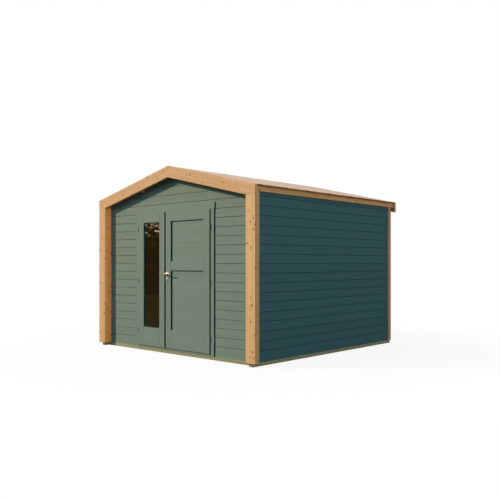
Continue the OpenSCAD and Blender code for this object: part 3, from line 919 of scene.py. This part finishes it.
def metal_material(name, bright, dull, rough_low, rough_high, scale, metallic):
    """Satin metal: tarnish and scratches over the bare colour."""
    material, tree, surface = new_material(name)
    worn = add_node(tree, "ShaderNodeGroup", {"Scale": scale}, node_tree=tarnish)
    cloud = worn.outputs["Cloud"]
    metal = blend_colour(tree, ramp(tree, cloud, 0.35, 0.7), bright, dull)
    roughness = ramp(tree, cloud, 0.3, 0.7, rough_low, rough_high)
    scratches = {"Height": worn.outputs["Scratches"], "Strength": 0.15, "Distance": 0.0002}
    bump = add_node(tree, "ShaderNodeBump", scratches)
    feed(tree, surface, {"Base Color": metal, "Roughness": roughness, "Normal": bump.outputs[0]})
    feed(tree, surface, {"Metallic": metallic})
    return material


def smooth_over(part):
    """Closes the seams of a turned or bent part and shades it smooth."""
    bmesh.ops.remove_doubles(part, verts=part.verts[:], dist=MERGE_GAP)
    bmesh.ops.recalc_face_normals(part, faces=part.faces[:])
    for face in part.faces:
        face.smooth = True


def turned(shape, profile, centre, axis, steps=32):
    """A turned piece: its half profile, as (radius, height) pairs, is spun round the axis through a point."""
    piece = bmesh.new()
    points = [piece.verts.new((radius, 0.0, height)) for radius, height in profile]
    edges = [piece.edges.new(pair) for pair in zip(points, points[1:])]
    bmesh.ops.spin(
        piece,
        geom=points + edges,
        cent=(0.0, 0.0, 0.0),
        axis=UPWARD,
        angle=2.0 * math.pi,
        steps=steps,
        use_merge=True,
    )
    smooth_over(piece)
    for edge in piece.edges:
        edge.smooth = edge.calc_face_angle(0.0) < math.radians(35.0)
    turn_to = Vector(UPWARD).rotation_difference(Vector(axis)).to_matrix().to_4x4()
    bmesh.ops.transform(piece, matrix=Matrix.Translation(centre) @ turn_to, verts=piece.verts[:])
    join_to(shape, piece)


def knuckle_profile(high):
    """Half profile of a knuckle: flat at the joint, a shallow turned line, and a dome at its free end."""
    r = KNUCKLE_R
    line_z = high * LINE_SHARE
    eased = [(0.0, 0.0), (r - KNUCKLE_EASING, 0.0), (r, KNUCKLE_EASING)]
    line = [(r, line_z), (r - LINE_DEEP, line_z + 0.0006), (r, line_z + 0.0012)]
    dome = [(r * math.cos(a), high - DOME_HIGH + DOME_HIGH * math.sin(a)) for a in DOME_STEPS]
    return eased + line + dome + [(0.0, high)]


def metal_block(shape, low, high):
    """A small flat metal piece between two corners, with its edges rounded."""
    block = bmesh.new()
    low = Vector(low)
    high = Vector(high)
    place = Matrix.Translation((low + high) / 2.0) @ Matrix.Diagonal((*(high - low), 1.0))
    bmesh.ops.create_cube(block, size=1.0, matrix=place)
    round_over(block, block.edges[:], FIN_EASING)
    join_to(shape, block)


hinge_metal = metal_material("hinge_metal", (0.11, 0.085, 0.07), (0.06, 0.045, 0.038), 0.38, 0.55, 60.0, 0.75)
knuckle_low, knuckle_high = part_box("frame_knuckles")
leaf_knuckle_low, leaf_knuckle_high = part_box("right_leaf_knuckles")
door_mid = (knuckle_low.x + knuckle_high.x) / 2.0
axis_x = knuckle_high.x - KNUCKLE_R - door_mid
axis_y = knuckle_low.y + KNUCKLE_R
casing_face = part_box("casing_left")[0].y
lowest = knuckle_low.z + BARREL_HIGH / 2.0
highest = leaf_knuckle_high.z - BARREL_HIGH / 2.0
profile = knuckle_profile((BARREL_HIGH - KNUCKLE_GAP) / 2.0)
leaf_edge = leaf_knuckle_low.x - door_mid
fin_front = axis_y - FIN_THICK / 2.0
fin_back = fin_front + FIN_THICK
frame_shape = bmesh.new()
leaf_shapes = {-1.0: bmesh.new(), 1.0: bmesh.new()}
for side in (-1.0, 1.0):
    pin_x = door_mid + side * axis_x
    outer = sorted((pin_x, pin_x + side * FIN_THICK))
    inner = sorted((pin_x, door_mid + side * leaf_edge))
    for level in (lowest, (lowest + highest) / 2.0, highest):
        below = Vector((pin_x, axis_y, level - KNUCKLE_GAP / 2.0))
        above = Vector((pin_x, axis_y, level + KNUCKLE_GAP / 2.0))
        turned(frame_shape, profile, below, (0.0, 0.0, -1.0))
        turned(leaf_shapes[side], profile, above, UPWARD)
        foot = level - BARREL_HIGH / 2.0 + FIN_SHORT
        head = level + BARREL_HIGH / 2.0 - FIN_SHORT
        metal_block(frame_shape, (outer[0], axis_y, foot), (outer[1], casing_face, below.z))
        metal_block(leaf_shapes[side], (inner[0], fin_front, above.z), (inner[1], fin_back, head))
for hinge_shape, leaf, body in (
    (frame_shape, "frame", "root"),
    (leaf_shapes[-1.0], "left_leaf", "left_door"),
    (leaf_shapes[1.0], "right_leaf", "right_door"),
):
    node = leaf + "_knuckles"
    set_up(hinge_shape, node + "_metal", body, "hinge_metal", [hinge_metal], node)

# Handle roses. Round pressed plates with a soft shoulder cover the spindle and the lock on both
# faces of the right leaf, in satin metal.
ROSE_BORE = 0.0105
TURNED_EASING = 0.001
FINE_STEPS = 48
OUTWARD = (0.0, -1.0, 0.0)
INWARD = (0.0, 1.0, 0.0)
handle_metal = metal_material("handle_metal", (0.47, 0.38, 0.355), (0.35, 0.28, 0.26), 0.36, 0.48, 45.0, 1.0)
rose_low, rose_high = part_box("handle_roses")
rose_r = (rose_high.x - rose_low.x) / 2.0
rose_thick = leaf_low.y - rose_low.y
spindle_x = (rose_low.x + rose_high.x) / 2.0
lever_z = rose_high.z - rose_r
lock_z = rose_low.z + rose_r
rose_profile = [
    (ROSE_BORE, 0.0),
    (rose_r - TURNED_EASING, 0.0),
    (rose_r, TURNED_EASING),
    (rose_r, rose_thick - 0.004),
    (rose_r - 0.001, rose_thick - 0.0018),
    (rose_r - 0.003, rose_thick - 0.0005),
    (rose_r - 0.006, rose_thick),
    (ROSE_BORE + TURNED_EASING, rose_thick),
    (ROSE_BORE, rose_thick - TURNED_EASING),
    (ROSE_BORE, 0.0),
]
shape = bmesh.new()
for level in (lever_z, lock_z):
    turned(shape, rose_profile, Vector((spindle_x, leaf_low.y, level)), OUTWARD, FINE_STEPS)
    turned(shape, rose_profile, Vector((spindle_x, leaf_high.y, level)), INWARD, FINE_STEPS)
set_up(shape, "handle_roses_metal", "right_door", "handle_metal", [handle_metal], "handle_roses")

# Lock cylinder. A turned plug runs through the leaf under the lever, with a key slot
# milled into each end.
SLOT_HALF_WIDE = 0.0011
SLOT_HALF_HIGH = 0.0048
SLOT_DEEP = 0.006
LOOKS_STRAIGHT = 0.99
lock_low, lock_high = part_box("lock_cylinder")
lock_r = (lock_high.x - lock_low.x) / 2.0
lock_length = lock_high.y - lock_low.y
lock_profile = [
    (0.0, 0.0),
    (lock_r - TURNED_EASING, 0.0),
    (lock_r, TURNED_EASING),
    (lock_r, lock_length - TURNED_EASING),
    (lock_r - TURNED_EASING, lock_length),
    (0.0, lock_length),
]
shape = bmesh.new()
turned(shape, lock_profile, Vector((spindle_x, lock_low.y, lock_z)), INWARD, FINE_STEPS)
bmesh.ops.dissolve_limit(shape, angle_limit=0.01, verts=shape.verts[:], edges=shape.edges[:])
for offset, normal in (
    ((SLOT_HALF_WIDE, 0.0, 0.0), EASTWARD),
    ((-SLOT_HALF_WIDE, 0.0, 0.0), EASTWARD),
    ((0.0, 0.0, SLOT_HALF_HIGH), UPWARD),
    ((0.0, 0.0, -SLOT_HALF_HIGH), UPWARD),
):
    ends = [face for face in shape.faces if abs(face.normal.y) > LOOKS_STRAIGHT]
    touched = {item for face in ends for item in (*face.verts, *face.edges)}
    bmesh.ops.bisect_plane(
        shape,
        geom=ends + list(touched),
        dist=MERGE_GAP,
        plane_co=Vector((spindle_x, 0.0, lock_z)) + Vector(offset),
        plane_no=normal,
    )
for way in (-1.0, 1.0):
    slot = [
        face
        for face in shape.faces
        if face.normal.y * way > LOOKS_STRAIGHT
        and abs(face.calc_center_median().x - spindle_x) < SLOT_HALF_WIDE
        and abs(face.calc_center_median().z - lock_z) < SLOT_HALF_HIGH
    ]
    milled = bmesh.ops.extrude_face_region(shape, geom=slot)["geom"]
    bmesh.ops.translate(shape, vec=(0.0, -way * SLOT_DEEP, 0.0), verts=points_of(milled))
    bmesh.ops.delete(shape, geom=[face for face in slot if face.is_valid], context="FACES_ONLY")
set_up(shape, "lock_cylinder_metal", "right_door", "handle_metal", [handle_metal], "lock_cylinder")

# Lever. A bent round bar on each face of the leaf: a short neck out of the rose, a tight bend,
# and a level grip that thickens a little towards its rounded end.
NECK_R = 0.0085
GRIP_R = 0.009
WAIST = 0.97
BEND_R = 0.012
TIP_LONG = 0.006
NECK_OFF = 0.0004
BAR_SIDES = 24
BEND_STEPS = 8


def carry(bar, rim, move, swell):
    """Carries the bar's open end on by a step and thickens or thins it there."""
    grown_end = bmesh.ops.extrude_edge_only(bar, edges=rim)["geom"]
    points = points_of(grown_end)
    bmesh.ops.translate(bar, vec=move, verts=points)
    middle = sum((point.co for point in points), Vector()) / len(points)
    bmesh.ops.scale(bar, vec=(swell, swell, swell), space=Matrix.Translation(-middle), verts=points)
    return edges_of(grown_end)


lever_low, lever_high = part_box("lever")
reach = leaf_low.y - (lever_low.y + GRIP_R)
grip_run = lever_high.x - spindle_x - BEND_R
shape = bmesh.new()
for way, face_y in ((-1.0, leaf_low.y), (1.0, leaf_high.y)):
    bar = bmesh.new()
    start = Matrix.Translation((spindle_x, face_y, lever_z)) @ Matrix.Rotation(math.radians(90.0), 4, "X")
    bmesh.ops.create_circle(bar, cap_ends=True, segments=BAR_SIDES, radius=NECK_R, matrix=start)
    bmesh.ops.translate(bar, vec=(0.0, way * NECK_OFF, 0.0), verts=bar.verts[:])
    rim = carry(bar, bar.edges[:], Vector((0.0, way * (reach - BEND_R), 0.0)), 1.0)
    bent = bmesh.ops.spin(
        bar,
        geom=rim + list({point for edge in rim for point in edge.verts}),
        cent=(spindle_x + BEND_R, face_y + way * (reach - BEND_R), lever_z),
        axis=UPWARD,
        angle=way * math.radians(-90.0),
        steps=BEND_STEPS,
    )["geom_last"]
    rim = edges_of(bent)
    for run, swell in (
        (grip_run * 0.45, WAIST),
        (grip_run * 0.35, GRIP_R / (NECK_R * WAIST)),
        (grip_run * 0.20 - TIP_LONG, 1.0),
        (0.0035, 0.86),
        (0.002, 0.65),
        (0.0005, 0.5),
    ):
        rim = carry(bar, rim, Vector((run, 0.0, 0.0)), swell)
    bmesh.ops.contextual_create(bar, geom=rim)
    smooth_over(bar)
    join_to(shape, bar)
set_up(shape, "lever_metal", "lever", "handle_metal", [handle_metal], "lever")

# Studio floor. A pale disc fades to white around the shed; light that it sends back to the
# shed is held low, so that the shaded sides keep their depth.
FLOOR_R = 16.0
floor_shape = bmesh.new()
bmesh.ops.create_circle(floor_shape, cap_ends=True, segments=96, radius=FLOOR_R)
floor_mesh = bpy.data.meshes.new("studio_floor")
floor_shape.to_mesh(floor_mesh)
floor_shape.free()
studio_floor = put_in_scene("studio_floor", floor_mesh)
floor_finish, tree, surface = new_material("studio_floor")
floor_mesh.materials.append(floor_finish)
tree.nodes.remove(surface)
light_path = add_node(tree, "ShaderNodeLightPath")
by_camera = light_path.outputs["Is Camera Ray"]
in_gloss = light_path.outputs["Is Glossy Ray"]
floor_colour = blend_colour(tree, in_gloss, (0.035, 0.042, 0.037), (0.22, 0.15, 0.052))
floor_colour = blend_colour(tree, by_camera, floor_colour, (0.80, 0.80, 0.79))
matt = add_node(tree, "ShaderNodeBsdfDiffuse", {"Color": floor_colour})
seen_white = add_node(tree, "ShaderNodeEmission", {"Color": WHITE, "Strength": 1.0})
from_middle = vector_sum(tree, "LENGTH", add_node(tree, "ShaderNodeTexCoord").outputs["Object"])
fade = times(tree, ramp(tree, from_middle, 2.0, 5.0, 0.9, 1.0), by_camera)
mixed = add_node(tree, "ShaderNodeMixShader", {0: fade, 1: matt.outputs[0], 2: seen_white.outputs[0]})
tree.links.new(mixed.outputs[0], tree.nodes["Material Output"].inputs["Surface"])

# Studio sky. A soft cool sky, brightest overhead, is shaded at the rear right and bluer in front, with
# broad soft lights to the rear, low on the sun's side and at the right. Small glints near the horizon
# show in the glass. The camera sees plain white.
sky = bpy.data.worlds.new("studio_sky")
bpy.context.scene.world = sky
sky.use_nodes = True
tree = sky.node_tree
lit = tree.nodes["Background"]
way = add_node(tree, "ShaderNodeTexCoord").outputs["Generated"]
height = add_node(tree, "ShaderNodeSeparateXYZ", {0: way}).outputs["Z"]


def near_to(toward, low, high, to_low=0.0, to_high=1.0):
    """A soft round share of the sky about one way."""
    return ramp(tree, vector_sum(tree, "DOT_PRODUCT", way, toward), low, high, to_low, to_high)


sunny_side = near_to((-0.77, -0.64, 0.0), 0.2, 0.9)
low_sky = blend_colour(tree, sunny_side, (0.08, 0.17, 0.21), (0.195, 0.113, 0.037))
patches = noise(tree, vector_sum(tree, "MULTIPLY", way, (1.0, 1.0, 3.6)), 120.0, 4.0)
glints = times(tree, ramp(tree, patches, 0.57, 0.64), ramp(tree, height, 0.018, 0.03))
low_sky = blend_colour(tree, glints, low_sky, (0.75, 0.62, 0.20))
gleam = times(tree, ramp(tree, patches, 0.54, 0.60), ramp(tree, height, 0.040, 0.045))
low_sky = blend_colour(tree, gleam, low_sky, (6.0, 4.4, 3.2))
heaven = blend_colour(tree, ramp(tree, height, 0.05, 0.6), (0.06, 0.28, 0.42), (0.26, 0.74, 0.95))
heaven = blend_colour(tree, ramp(tree, height, 0.06, 0.16), low_sky, heaven)
below_zenith = ramp(tree, height, 0.3, 0.8, 1.0, 0.0)
rear_shade = times(tree, near_to((0.71, 0.71, 0.0), 0.0, 0.8, 0.0, 0.85), below_zenith)
front_shade = times(tree, near_to((-0.3, -0.95, 0.0), 0.1, 0.7, 0.0, 0.9), below_zenith)
front_shade = times(tree, front_shade, ramp(tree, height, 0.05, 0.12))
rear_fill = near_to((-0.36, 0.93, 0.08), 0.75, 0.98)
low_sun = times(tree, near_to((-0.70, -0.68, 0.22), 0.88, 0.98), ramp(tree, height, 0.08, 0.17))
right_fill = near_to((0.984, -0.105, 0.14), 0.93, 0.99)
for share, colour in (
    (rear_shade, (0.0, 0.0, 0.0)),
    (front_shade, (0.0, 0.58, 1.28)),
    (rear_fill, (2.2, 1.8, 1.5)),
    (low_sun, (2.5, 3.2, 2.6)),
    (right_fill, (8.9, 7.7, 7.0)),
):
    heaven = blend_colour(tree, share, heaven, colour)
feed(tree, lit, {"Color": heaven, "Strength": 0.75})
plain_white = add_node(tree, "ShaderNodeBackground", {"Color": WHITE, "Strength": 1.0})
camera_ray = add_node(tree, "ShaderNodeLightPath").outputs["Is Camera Ray"]
chosen = add_node(tree, "ShaderNodeMixShader", {0: camera_ray, 1: lit.outputs[0], 2: plain_white.outputs[0]})
tree.links.new(chosen.outputs[0], tree.nodes["World Output"].inputs["Surface"])

# Sun. One warm lamp stands low at the front left, with fairly crisp shadows,
# so that the portal shades the wall behind it.
sun_light = bpy.data.lights.new("sun", "SUN")
sun_light.energy = 3.78
sun_light.color = (1.0, 0.815, 0.61)
sun_light.angle = math.radians(1.2)
sun = put_in_scene("sun", sun_light)
sun.rotation_euler = Vector((-0.65, -0.596, 0.471)).to_track_quat("Z", "Y").to_euler()

# Camera. At eye height off the right front corner, level, with a slight upward shift
# that keeps all uprights plumb.
PHOTO_WIDE = 500.0
FOCAL_PIXELS = 634.1658
SHIFT_PIXELS = 11.9012
camera_data = bpy.data.cameras.new("camera")
camera_data.sensor_width = 36.0
camera_data.lens = FOCAL_PIXELS / PHOTO_WIDE * camera_data.sensor_width
camera_data.shift_y = SHIFT_PIXELS / PHOTO_WIDE
camera = put_in_scene("camera", camera_data)
camera.location = (6.298, -6.8607, 1.1981)
camera.rotation_euler = (math.radians(90.0), 0.0, math.radians(42.5093))
bpy.context.scene.camera = camera
bpy.context.scene.view_settings.view_transform = "Standard"
